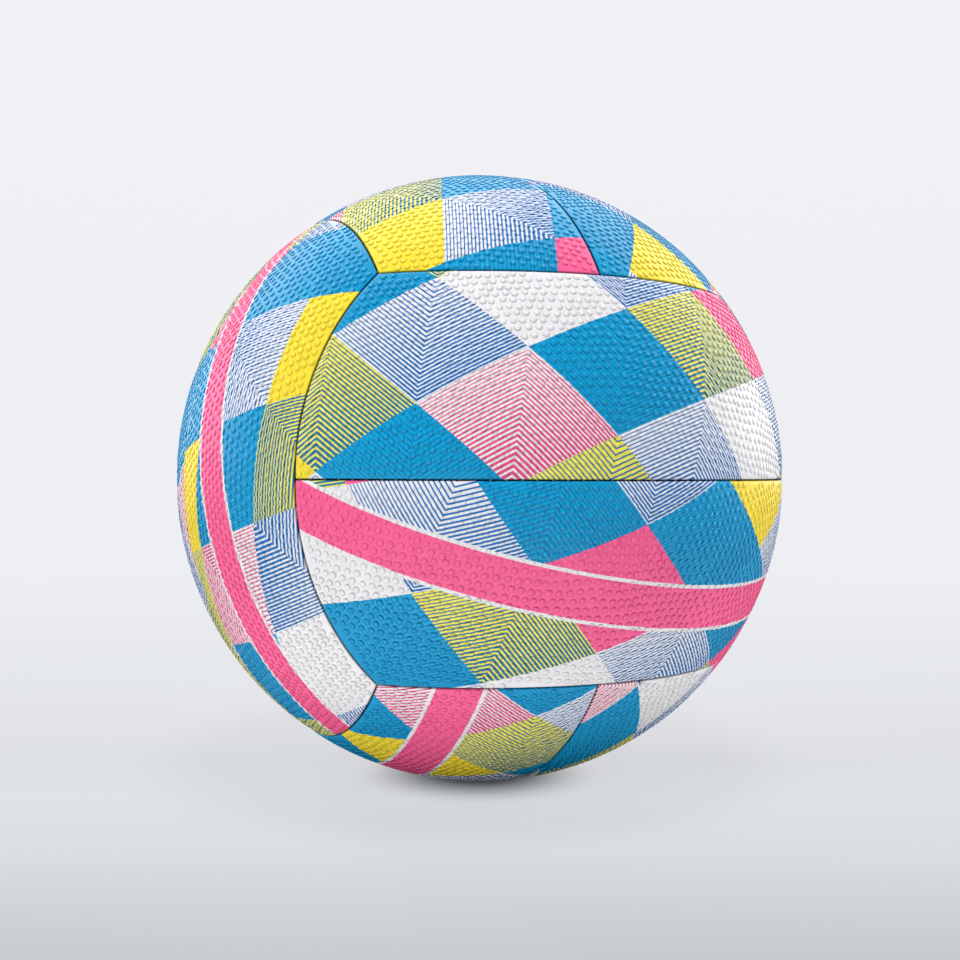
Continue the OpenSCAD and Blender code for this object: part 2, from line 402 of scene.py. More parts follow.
# Name, slot in the record, turn of the print in degrees, patch in its middle, band as angle and offset in mm
panels = [
    ("front_upper", "cover_blue", 14, 0, None),
    ("front_lower", "cover_pink", -166, 6, (-9, 4)),
    ("back_upper", "cover_lime", 30, 2, None),
    ("back_lower", "cover_white", -12, 8, (8, -3)),
    ("bottom_right", "cover_pink", 22, 6, None),
    ("bottom_left", "cover_blue", 74, 1, (12, 2)),
    ("top_right", "cover_yellow", -20, 12, None),
    ("top_left", "cover_light_blue", 62, 5, None),
    ("left_back", "cover_white", 15, 8, None),
    ("left_front", "cover_blue", 40, 7, (10, -6)),
    ("right_back", "cover_blue", -30, 0, None),
    ("right_front", "cover_pink", 20, 6, (-7, 5)),
]
skinRadius = ball["radius"] - cover["pimpleHeight"]


def shapedMesh(name, shape, crease):  # a smooth mesh, but sharp along edges of more than crease degrees
    for face in shape.faces:
        face.smooth = True
    for edge in shape.edges:
        edge.smooth = edge.calc_face_angle(0) < math.radians(crease)
    mesh = bpy.data.meshes.new(name)
    shape.to_mesh(mesh)
    shape.free()
    return mesh


def panelSkin():  # the first panel without its pimples, as one closed shell
    half, roll, radius, steps = cover["slit"] / 2, cover["edgeRadius"], ball["radius"], cover["edgeSteps"]
    near = [half + roll * (1 - math.cos(math.pi / 2 * k / steps)) for k in range(steps + 1)]
    near = np.array(near + [near[-1] + more for more in cover["settlingSteps"]])
    inside = near[-1] / radius
    count = round((seamTilt - 2 * inside) * radius / cover["gridStep"])
    middle = np.linspace(inside, seamTilt - inside, count)[1:-1]
    tilts = np.concatenate([near / radius, middle, (seamTilt - near / radius)[::-1]])
    columns = round(2 * capAngle * radius / cover["gridStep"])
    headings = []
    for tilt in tilts:
        ends = np.arccos(np.clip(np.cos(capAngle - near / radius) / math.cos(tilt), -1, 1))
        middle = np.linspace(-ends[-1], ends[-1], columns)[1:-1]
        headings.append(np.concatenate([-ends, middle, ends[::-1]]))
    headings, tilts = np.array(headings), tilts[:, None] + 0 * np.array(headings)
    ways = [np.sin(headings) * np.cos(tilts), -np.cos(headings) * np.cos(tilts), np.sin(tilts)]
    ways = np.stack(ways, 2)
    fromSeams = radius * np.stack([tilts, seamTilt - tilts, capAngle - np.arccos(-ways[:, :, 1])])
    lean = np.clip(1 - (fromSeams - half) / roll, 0, 1)
    lean = np.minimum(np.sqrt((lean**2).sum(0)), 1)
    drop = roll * (1 - np.sqrt(1 - lean**2))
    drop += cover["pillowDrop"] * np.exp(-((fromSeams / cover["pillowReach"]) ** 2)).sum(0)
    outer = ways * (skinRadius - drop)[:, :, None]
    inner = ways * backRadius
    rows, across = headings.shape
    number = np.arange(rows * across).reshape(rows, across)
    quads = np.stack([number[:-1, :-1], number[:-1, 1:], number[1:, 1:], number[1:, :-1]], 2).reshape(-1, 4)
    rim = np.concatenate([number[0, :-1], number[:-1, -1], number[-1, :0:-1], number[:0:-1, 0]])
    after = np.roll(rim, -1)
    under = rows * across
    walls = np.stack([rim + under, after + under, after, rim], 1)
    faces = np.concatenate([quads, quads[:, ::-1] + under, walls])
    spots = np.concatenate([outer.reshape(-1, 3), inner.reshape(-1, 3)])
    plain = bpy.data.meshes.new("plainSkin")
    plain.from_pydata(spots.tolist(), [], faces.tolist())
    shell = bmesh.new()
    shell.from_mesh(plain)
    bpy.data.meshes.remove(plain)
    bmesh.ops.recalc_face_normals(shell, faces=shell.faces)
    return shapedMesh("panelSkin", shell, 40)


def pimpleShape():  # one pimple of unit radius and height, sunk a little into the skin
    rings, sides = cover["pimpleRings"], cover["pimpleSides"]
    turns = [2 * math.pi * k / sides for k in range(sides)]
    shape = bmesh.new()
    loops = []
    for radius, height in rings:
        spots = [(radius * math.cos(turn), radius * math.sin(turn), height) for turn in turns]
        loops.append([shape.verts.new(spot) for spot in spots])
    top, bottom = shape.verts.new((0, 0, 1)), shape.verts.new((0, 0, rings[0][1]))
    for k in range(sides):
        following = (k + 1) % sides
        for low, high in zip(loops, loops[1:]):
            shape.faces.new((low[k], low[following], high[following], high[k]))
        shape.faces.new((loops[-1][k], loops[-1][following], top))
        shape.faces.new((loops[0][following], loops[0][k], bottom))
    return bpy.data.objects.new("pimpleShape", shapedMesh("pimple", shape, 80))


def valveRing():  # the low moulded ring round the valve's hole in the first panel's place
    profile = [(cover["valveHole"] + out * mm, up * mm) for out, up in cover["valveRing"]]
    sides = cover["valveSides"]
    ring = bmesh.new()
    loops = []
    for k in range(sides):
        angle = 2 * math.pi * k / sides
        loops.append([])
        for radius, height in profile:
            level = math.sqrt(skinRadius**2 - radius**2) + height
            loops[-1].append(ring.verts.new((radius * math.cos(angle), radius * math.sin(angle), level)))
    for k in range(sides):
        following = (k + 1) % sides
        for j in range(len(profile)):
            later = (j + 1) % len(profile)
            ring.faces.new((loops[k][j], loops[following][j], loops[following][later], loops[k][later]))
    bmesh.ops.recalc_face_normals(ring, faces=ring.faces)
    mesh = shapedMesh("valveRing", ring, 50)
    mesh.transform(Matrix.Rotation(middleTurn, 4, "X"))
    return mesh


def addInputs(tree, entries):
    tree.interface.new_socket(name="Geometry", in_out="INPUT", socket_type="NodeSocketGeometry")
    for name, kind in entries.items():
        tree.interface.new_socket(name=name, in_out="INPUT", socket_type="NodeSocket" + kind)
    tree.interface.new_socket(name="Geometry", in_out="OUTPUT", socket_type="NodeSocketGeometry")
    return addNode(tree, "NodeGroupInput")


def finishTree(tree, parts, material):  # joins the parts, and makes them real and of one material
    joined = tree.nodes.new("GeometryNodeJoinGeometry")
    for part in parts:
        tree.links.new(part, joined.inputs[0])
    real = addNode(tree, "GeometryNodeRealizeInstances", None, [joined.outputs[0]])[0]
    coated = addNode(tree, "GeometryNodeSetMaterial", None, {"Geometry": real, "Material": material})[0]
    addNode(tree, "NodeGroupOutput", None, {"Geometry": coated})
    return tree


def makePimpledTree():
    tree = bpy.data.node_groups.new("pimpledPanel", "GeometryNodeTree")
    sizes = ["Pitch", "Pimple Radius", "Pimple Height", "Wander", "Wave Length", "Jitter", "Edge Margin"]
    entries = dict.fromkeys(sizes + ["Hole Radius", "Clear Radius"], "Float")
    entries.update(dict.fromkeys(["Columns", "Rows", "Seed"], "Int"), Pimple="Object", Material="Material")
    given = addInputs(tree, entries)
    radius = ball["radius"]
    # The valve's hole, where the panel has one
    drill = {"Vertices": cover["valveSides"], "Radius": given["Hole Radius"], "Depth": cover["drillLength"]}
    drill = addNode(tree, "GeometryNodeMeshCylinder", None, drill)["Mesh"]
    drill = {"Geometry": drill, "Translation": middleWay * radius, "Rotation": (middleTurn, 0, 0)}
    drill = addNode(tree, "GeometryNodeTransform", None, drill)[0]
    cut = {"Mesh 1": given["Geometry"], "Mesh 2": drill}
    cut = addNode(tree, "GeometryNodeMeshBoolean", {"operation": "DIFFERENCE"}, cut)["Mesh"]
    holed = addNode(tree, mathNode, above, [given["Hole Radius"], 0.0])[0]
    skin = {"Switch": holed, "False": given["Geometry"], "True": cut}
    skin = addNode(tree, "GeometryNodeSwitch", {"input_type": "GEOMETRY"}, skin)[0]
    # Rows of points on the panel's plan, every other one half a pitch on
    rowStep = addNode(tree, mathNode, times, [given["Pitch"], math.sqrt(3) / 2])[0]
    spans = []
    for count, step in ((given["Columns"], given["Pitch"]), (given["Rows"], rowStep)):
        steps = addNode(tree, mathNode, minus, [count, 1.0])[0]
        spans.append(addNode(tree, mathNode, times, [steps, step])[0])
    grid = addNode(tree, "GeometryNodeMeshGrid", None, [*spans, given["Columns"], given["Rows"]])["Mesh"]
    place = addNode(tree, "GeometryNodeInputPosition")[0]
    row = addNode(tree, "ShaderNodeSeparateXYZ", None, [place])["Y"]
    row = addNode(tree, mathNode, share, [row, rowStep])[0]
    row = addNode(tree, mathNode, {"operation": "ROUND"}, [row])[0]
    shift = addNode(tree, mathNode, remainder, [row, 2.0])[0]
    halfPitch = addNode(tree, mathNode, share, [given["Pitch"], 2.0])[0]
    shift = addNode(tree, mathNode, times, [shift, halfPitch])[0]
    shift = addNode(tree, "ShaderNodeCombineXYZ", None, {"X": shift})[0]
    shifted = addNode(tree, vectorNode, plus, [place, shift])[0]
    # The rows sway, and each point is a little off its place
    apart = addNode(tree, mathNode, times, [given["Seed"], cover["seedShift"]])[0]
    apart = addNode(tree, "ShaderNodeCombineXYZ", None, {"Z": apart})[0]
    waves = addNode(tree, mathNode, share, [1.0, given["Wave Length"]])[0]
    waves = addNode(tree, vectorNode, scaled, {0: shifted, "Scale": waves})[0]
    waves = addNode(tree, vectorNode, plus, [waves, apart])[0]
    sway = addNode(tree, noiseNode, None, {"Vector": waves, "Scale": 1.0, "Detail": 1.0})["Color"]
    sway = addNode(tree, vectorNode, minus, [sway, (0.5, 0.5, 0.5)])[0]
    sway = addNode(tree, vectorNode, scaled, {0: sway, "Scale": given["Wander"]})[0]
    uneven = {0: (-1, -1, 0), 1: (1, 1, 0), "Seed": given["Seed"]}
    uneven = addNode(tree, "FunctionNodeRandomValue", {"data_type": "FLOAT_VECTOR"}, uneven)[0]
    uneven = addNode(tree, vectorNode, scaled, {0: uneven, "Scale": given["Jitter"]})[0]
    plan = shifted
    for settings, other in ((plus, sway), (plus, uneven), (times, (1, 1, 0))):
        plan = addNode(tree, vectorNode, settings, [plan, other])[0]
    fromMiddle = addNode(tree, vectorNode, length, [plan])["Value"]
    clear = addNode(tree, mathNode, above, [fromMiddle, given["Clear Radius"]])[0]
    # From the plan to a little outside the ball
    angles = addNode(tree, vectorNode, share, [plan, (radius, radius, radius)])[0]
    angles = addNode(tree, "ShaderNodeSeparateXYZ", None, [angles])
    sines, cosines = [], []
    for axis in ("X", "Y"):
        sines.append(addNode(tree, mathNode, {"operation": "SINE"}, [angles[axis]])[0])
        cosines.append(addNode(tree, mathNode, {"operation": "COSINE"}, [angles[axis]])[0])
    sideways = addNode(tree, mathNode, times, [sines[0], cosines[1]])[0]
    forwards = addNode(tree, mathNode, times, cosines)[0]
    forwards = addNode(tree, mathNode, times, [forwards, -1.0])[0]
    way = addNode(tree, "ShaderNodeCombineXYZ", None, [sideways, forwards, sines[1]])[0]
    way = {"Vector": way, "Angle": -panelTilt}
    way = addNode(tree, "ShaderNodeVectorRotate", {"rotation_type": "X_AXIS"}, way)[0]
    outside = addNode(tree, vectorNode, scaled, {0: way, "Scale": radius * cover["dropFrom"]})[0]
    keptClear = {"Geometry": grid, 1: clear}
    keptClear = addNode(tree, "GeometryNodeCaptureAttribute", {"captured": "FLOAT"}, keptClear)
    raised = {"Geometry": keptClear[0], "Position": outside}
    raised = addNode(tree, "GeometryNodeSetPosition", None, raised)[0]
    # Down onto the skin, where they are clear of the seams and the valve
    outwards = addNode(tree, vectorNode, unit, [place])[0]
    inwards = addNode(tree, vectorNode, times, [outwards, (-1, -1, -1)])[0]
    hit = {"Target Geometry": skin, "Ray Direction": inwards, "Ray Length": radius * cover["dropReach"]}
    hit = addNode(tree, "GeometryNodeRaycast", None, hit)
    parts = addNode(tree, "ShaderNodeSeparateXYZ", None, [outwards])
    fromMiddleSeam = addNode(tree, mathNode, {"operation": "ARCSINE"}, [parts["Z"]])[0]
    fromEdgeSeam = addNode(tree, mathNode, minus, [seamTilt, fromMiddleSeam])[0]
    fromFace = addNode(tree, mathNode, times, [parts["Y"], -1.0])[0]
    fromFace = addNode(tree, mathNode, {"operation": "ARCCOSINE"}, [fromFace])[0]
    least = addNode(tree, mathNode, minus, [capAngle, fromFace])[0]
    for seam in (fromMiddleSeam, fromEdgeSeam):
        least = addNode(tree, mathNode, {"operation": "MINIMUM"}, [least, seam])[0]
    least = addNode(tree, mathNode, times, [least, radius])[0]
    kept = addNode(tree, mathNode, above, [least, given["Edge Margin"]])[0]
    for test in (keptClear[1], hit["Is Hit"]):
        kept = addNode(tree, mathNode, times, [kept, test])[0]
    spare = addNode(tree, mathNode, below, [kept, 0.5])[0]
    left = addNode(tree, "GeometryNodeDeleteGeometry", None, {"Geometry": raised, "Selection": spare})[0]
    facing = {"Geometry": left, 1: hit["Hit Normal"]}
    facing = addNode(tree, "GeometryNodeCaptureAttribute", {"captured": "VECTOR"}, facing)
    seated = {"Geometry": facing[0], "Position": hit["Hit Position"]}
    seated = addNode(tree, "GeometryNodeSetPosition", None, seated)[0]
    upright = addNode(tree, "FunctionNodeAlignRotationToVector", {"axis": "Z"}, {"Vector": facing[1]})[0]
    size = [given["Pimple Radius"], given["Pimple Radius"], given["Pimple Height"]]
    size = addNode(tree, "ShaderNodeCombineXYZ", None, size)[0]
    smallest, largest = cover["pimpleSizes"]
    varied = {2: smallest, 3: largest, "Seed": given["Seed"]}
    varied = addNode(tree, "FunctionNodeRandomValue", {"data_type": "FLOAT"}, varied)[1]
    size = addNode(tree, vectorNode, scaled, {0: size, "Scale": varied})[0]
    shape = addNode(tree, "GeometryNodeObjectInfo", None, {"Object": given["Pimple"]})["Geometry"]
    dotted = {"Points": seated, "Instance": shape, "Rotation": upright, "Scale": size}
    dotted = addNode(tree, "GeometryNodeInstanceOnPoints", None, dotted)[0]
    return finishTree(tree, [skin, dotted], given["Material"])


def plainMesh(name, mesh, tree, values):  # runs a tree on a mesh and keeps the result as a plain mesh
    piece = bpy.data.objects.new(name, mesh)
    bpy.context.scene.collection.objects.link(piece)
    modifier = piece.modifiers.new(tree.name, "NODES")
    modifier.node_group = tree
    for item in tree.interface.items_tree:
        if item.in_out == "INPUT" and item.name in values:
            modifier[item.identifier] = values[item.name]
    graph = bpy.context.evaluated_depsgraph_get()
    made = bpy.data.meshes.new_from_object(piece.evaluated_get(graph), depsgraph=graph)
    piece.modifiers.clear()
    piece.data = made
    made.name = name
    return piece


def planOf(places):  # where points of the first panel lie on its flat plan, in mm from its middle
    ways = places / np.linalg.norm(places, axis=1)[:, None]
    out = -ways[:, 1] * math.cos(panelTilt) + ways[:, 2] * math.sin(panelTilt)
    up = ways[:, 1] * math.sin(panelTilt) + ways[:, 2] * math.cos(panelTilt)
    return np.stack([np.arctan2(ways[:, 0], out), np.arcsin(np.clip(up, -1, 1))], 1) * ball["radius"] / mm


bakeMap = {  # shares of the side of the map for baking
    "skin": 0.94,  # that the printed skin takes, with the map's middle as its own
    "walls": 1.03,  # how much further out the cut edges' far ends lie
    "skinHeight": 0.93,  # what the skin and the walls shrink to, for the back to fit above them
    "backFrom": 0.94,
    "backHeight": 0.05,
}


def layMaps(mesh):  # the print's plan in mm, a map for baking, and the back's own material
    places = np.empty(len(mesh.vertices) * 3, np.float32)
    mesh.vertices.foreach_get("co", places)
    places = places.reshape(-1, 3)
    atBack = np.linalg.norm(places, axis=1) < backRadius + 0.05 * mm  # clear of rounding
    corners = np.empty(len(mesh.loops), np.int32)
    mesh.loops.foreach_get("vertex_index", corners)
    starts = np.empty(len(mesh.polygons), np.int32)
    counts = np.empty(len(mesh.polygons), np.int32)
    mesh.polygons.foreach_get("loop_start", starts)
    mesh.polygons.foreach_get("loop_total", counts)
    backFace = np.logical_and.reduceat(atBack[corners], starts)
    onBackFace = np.repeat(backFace, counts)
    plan = planOf(places)[corners]
    low, high = plan.min(0), plan.max(0)
    part = (plan - low) / (high - low)
    baked = 0.5 + (part - 0.5) * bakeMap["skin"]
    wallEnd = atBack[corners] & ~onBackFace
    baked[wallEnd] = 0.5 + (baked[wallEnd] - 0.5) * bakeMap["walls"]
    baked[:, 1] *= bakeMap["skinHeight"]
    baked[onBackFace, 1] = bakeMap["backFrom"] + bakeMap["backHeight"] * part[onBackFace, 1]
    for name, values in (("printPlan", plan), ("OFBake", baked)):
        layer = mesh.uv_layers.new(name=name)
        layer.data.foreach_set("uv", values.astype(np.float32).ravel())
    mesh.uv_layers.active = mesh.uv_layers["printPlan"]
    unprinted = np.logical_or.reduceat(atBack[corners], starts)  # the back and the cut edges
    mesh.polygons.foreach_set("material_index", unprinted.astype(np.int32))


def middleOf(patch):  # the middle of a diamond of that patch, on the print
    along = patch * pow(printed["alongStep"], -1, len(patches)) % len(patches)
    return (along + 1) / 2 * printed["diamondWidth"], along / 2 * printed["diamondHeight"]


skin, pimple, pimpledTree = panelSkin(), pimpleShape(), makePimpledTree()
floorLevel = cadBox[0][2]
pitches = ball["radius"] / cover["pimplePitch"]
columns = 2 * math.ceil(capAngle * pitches) + cover["sparePoints"]
rows = 2 * math.ceil(seamTilt * pitches / math.sqrt(3)) + cover["sparePoints"]
for number, (name, slot, turn, patch, band) in enumerate(panels):
    holed = name == "back_upper"
    values = {
        "Pitch": cover["pimplePitch"],
        "Pimple Radius": cover["pimpleRadius"],
        "Pimple Height": cover["pimpleHeight"],
        "Wander": cover["pimpleWander"],
        "Wave Length": cover["pimpleWaves"],
        "Jitter": cover["pimpleJitter"],
        "Edge Margin": cover["pimpleEdge"],
        "Hole Radius": cover["valveHole"] if holed else 0.0,
        "Clear Radius": cover["valveClear"] if holed else 0.0,
        "Columns": columns,
        "Rows": rows,
        "Seed": number,
        "Pimple": pimple,
        "Material": printedRubber(name, turn, middleOf(patch), band),
    }
    piece = plainMesh("cover_" + name, skin, pimpledTree, values)
    if holed:
        both = bmesh.new()
        both.from_mesh(piece.data)
        both.from_mesh(valveRing())
        both.to_mesh(piece.data)
        both.free()
    layMaps(piece.data)
    piece.data.materials.clear()
    piece.data.materials.append(values["Material"])
    piece.data.materials.append(backing)
    piece.data.transform(turnOf(number, halfTurns))
    for vertex in piece.data.vertices if name.startswith("bottom") else ():
        vertex.co.z = max(vertex.co.z, floorLevel)  # flat where the ball stands
    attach(piece, ball["body"])
    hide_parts("panel_" + name)
print("cover made:", len(panels), "panels")

# The sewing
sewing = {
    "runRadius": 108.525 * mm,  # from the ball's middle to the middle of the running thread
    "threadRadius": 0.275 * mm,
    "sides": 8,
    "endGap": 1.3 * mm,  # arc without thread before a crossing seam
    "halfSteps": 60,  # pieces of the run in each half of a seam
    "stitchPitch": 4.5 * mm,
    "stitchRadius": 0.17 * mm,
    "stitchWidth": 1.1,  # how much wider it is along the seam
    "stitchSides": 6,
    # Half of a stitch across the seam, from the running thread up to its top: across and out in mm
    "stitchPath": [(-0.12, 0.0), (-0.14, 0.9), (-0.3, 1.25), (-0.36, 1.45), (-0.22, 1.66), (0.0, 1.72)],
}
middles = ["front", "back", "bottom", "top", "left", "right"]
edges = ["front_left", "front_right", "back_right", "back_left", "bottom_front", "bottom_back"]
edges += ["top_back", "top_front", "left_bottom", "left_top", "right_top", "right_bottom"]


def stitchShape():  # one stitch across a seam, X along the seam and Z outwards, from the running thread
    path = sewing["stitchPath"]
    path = np.array(path + [(-y, z) for y, z in path[-2::-1]]) * mm
    sides, radius = sewing["stitchSides"], sewing["stitchRadius"]
    shape = bmesh.new()
    loops = []
    for k, (y, z) in enumerate(path):
        ahead = path[min(k + 1, len(path) - 1)] - path[max(k - 1, 0)]
        ahead = ahead / np.linalg.norm(ahead)
        loops.append([])
        for j in range(sides):
            angle = 2 * math.pi * j / sides
            along, side = sewing["stitchWidth"] * radius * math.cos(angle), radius * math.sin(angle)
            loops[-1].append(shape.verts.new((along, y - ahead[1] * side, z + ahead[0] * side)))
    for first, second in zip(loops, loops[1:]):
        for j in range(sides):
            following = (j + 1) % sides
            shape.faces.new((first[j], first[following], second[following], second[j]))
    shape.faces.new(loops[0])
    shape.faces.new(loops[-1])
    bmesh.ops.recalc_face_normals(shape, faces=shape.faces)
    return bpy.data.objects.new("stitchShape", shapedMesh("stitch", shape, 180))


def seamPath(tilt, span, turn):  # a seam's line, in the middle of its slit
    radius, steps = sewing["runRadius"], sewing["halfSteps"]
    level, out = radius * math.sin(tilt), radius * math.cos(tilt)
    half = span / 2 - sewing["endGap"] / out
    angles = [half * (k / steps - 1) for k in range(2 * steps + 1)]
    spots = [(out * math.cos(angle), out * math.sin(angle), level) for angle in angles]
    mesh = bpy.data.meshes.new("seamPath")
    mesh.from_pydata(spots, [(k, k + 1) for k in range(len(spots) - 1)], [])
    mesh.transform(turn)
    return mesh


def makeSewnTree():
    tree = bpy.data.node_groups.new("sewnSeam", "GeometryNodeTree")
    entries = {"Thread Radius": "Float", "Sides": "Int", "Stitches": "Int", "Stitch": "Object"}
    given = addInputs(tree, {**entries, "Material": "Material"})
    line = addNode(tree, "GeometryNodeMeshToCurve", None, {"Mesh": given["Geometry"]})[0]
    outline = {"Resolution": given["Sides"], "Radius": given["Thread Radius"]}
    outline = addNode(tree, "GeometryNodeCurvePrimitiveCircle", None, outline)[0]
    run = {"Curve": line, "Profile Curve": outline, "Fill Caps": True}
    run = addNode(tree, "GeometryNodeCurveToMesh", None, run)[0]
    run = addNode(tree, "GeometryNodeSetShadeSmooth", None, {"Geometry": run})[0]
    points = {"Curve": line, "Count": given["Stitches"]}
    points = addNode(tree, "GeometryNodeCurveToPoints", {"mode": "COUNT"}, points)
    place = addNode(tree, "GeometryNodeInputPosition")[0]
    upright = addNode(tree, "FunctionNodeAlignRotationToVector", {"axis": "Z"}, {"Vector": place})[0]
    lined = {"Rotation": upright, "Vector": points["Tangent"]}
    lined = addNode(tree, "FunctionNodeAlignRotationToVector", {"axis": "X", "pivot_axis": "Z"}, lined)[0]
    shape = addNode(tree, "GeometryNodeObjectInfo", None, {"Object": given["Stitch"]})["Geometry"]
    stitched = {"Points": points["Points"], "Instance": shape, "Rotation": lined}
    stitched = addNode(tree, "GeometryNodeInstanceOnPoints", None, stitched)[0]
    return finishTree(tree, [run, stitched], given["Material"])


stitch, sewnTree = stitchShape(), makeSewnTree()
toFrontMiddle = Matrix.Rotation(-math.pi / 2, 4, "Z")
toFrontEdge = Matrix.Rotation(math.pi / 2, 4, "X") @ Matrix.Rotation(math.pi, 4, "Z")
seams = []  # name, how far it is tilted from its face's middle, arc, and turn into its place
for i, name in enumerate(middles):
    seams.append(("middle_" + name, 0, 2 * capAngle, turnOf(i, middleTurns) @ toFrontMiddle))
for i, name in enumerate(edges):
    seams.append(("edge_" + name, seamTilt, math.pi / 2, turnOf(i, halfTurns) @ toFrontEdge))
for name, tilt, span, turn in seams:
    runLength = span * math.cos(tilt) * sewing["runRadius"] - 2 * sewing["endGap"]
    values = {
        "Thread Radius": sewing["threadRadius"],
        "Sides": sewing["sides"],
        "Stitches": round(runLength / sewing["stitchPitch"]),
        "Stitch": stitch,
        "Material": thread,
    }
    piece = plainMesh("sewing_" + name, seamPath(tilt, span, turn), sewnTree, values)
    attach(piece, ball["body"])
    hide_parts("thread_" + name)
print("sewing made:", len(seams), "seams")

# The studio
studio = {
    "horizon": "#eeeff3",
    "above": "#f3f2f6",
    "aboveFrom": (0.02, 0.38),  # how steeply up the one goes over into the other
    "lightBefore": 0.25,  # of the white room before the ball, and beyond it
    "lightBehind": 1.1,
    "lightTurn": (-0.1, 0.8),  # depth of the way between them
    "mirrorBefore": 0.03,  # the same three, as the ball mirrors them
    "mirrorBehind": 2.2,
    "mirrorTurn": (-0.1, 0.5),
}
floorLook = {  # distances in metres from where the ball stands
    "size": 12.0,
    "paint": "#e2e6ea",  # where the ball's shadow falls
    "farOff": (0.3, 1.3),  # over which the floor's tones go over into the horizon's
    "aside": (0.2, 0.42),  # the same to the sides, and the depth over which that starts before the ball
    "asideDepth": (0.1, -0.1),
    "shadow": (0.012, 0.048),  # where the shadow under the ball starts to fade, and has nearly faded
    "shadowLeft": 0.1,  # share of the shadow left beyond that
    "shadowEnd": (0.08, 0.9),  # over which that share goes too
    "glow": 1.24,  # light that the white floor gives back to the ball from below
    "glowStart": (0.035, 0.145),
    "glowEnd": (0.25, 0.7),
    "glowLeft": 0.2,  # share of the glow beyond that
    "mirrored": 0.15,  # share of the glow that the ball mirrors
}
# Depth beyond the ball in metres, and how the floor looks there
floorTones = [
    (-0.7, "#e8e9ee"),
    (-0.35, "#d9dbe0"),
    (-0.2, "#bbbec3"),
    (-0.155, "#c8cbd0"),
    (-0.1, "#d6d9dd"),
    (-0.04, "#dbdfe3"),
    (0.02, "#d9dbdf"),
    (0.1, "#dddee2"),
    (0.2, "#e1e3e7"),
    (0.6, "#eaebf0"),
    (1.3, "#edeef2"),
]
photoView = {
    "azimuth": -24.5,  # degrees round the ball from the front
    "elevation": 0.3,
    "roll": 0.15,
    "distance": 4.25,  # in ball radii
    "ballPixels": 303.2,  # radius of the outline in the picture
    "middle": (479.6, 478.2),  # of the ball in the picture
    "imageSide": 960,
    "sensorWidth": 36.0,
    "seen": (0.01, 50),  # nearest and furthest, in metres
}
azimuth, elevation = math.radians(photoView["azimuth"]), math.radians(photoView["elevation"])
level = math.cos(elevation)
back = Vector((math.sin(azimuth) * level, -math.cos(azimuth) * level, math.sin(elevation)))
away = Vector((-back.x, -back.y, 0)).normalized()
white = (1, 1, 1, 1)


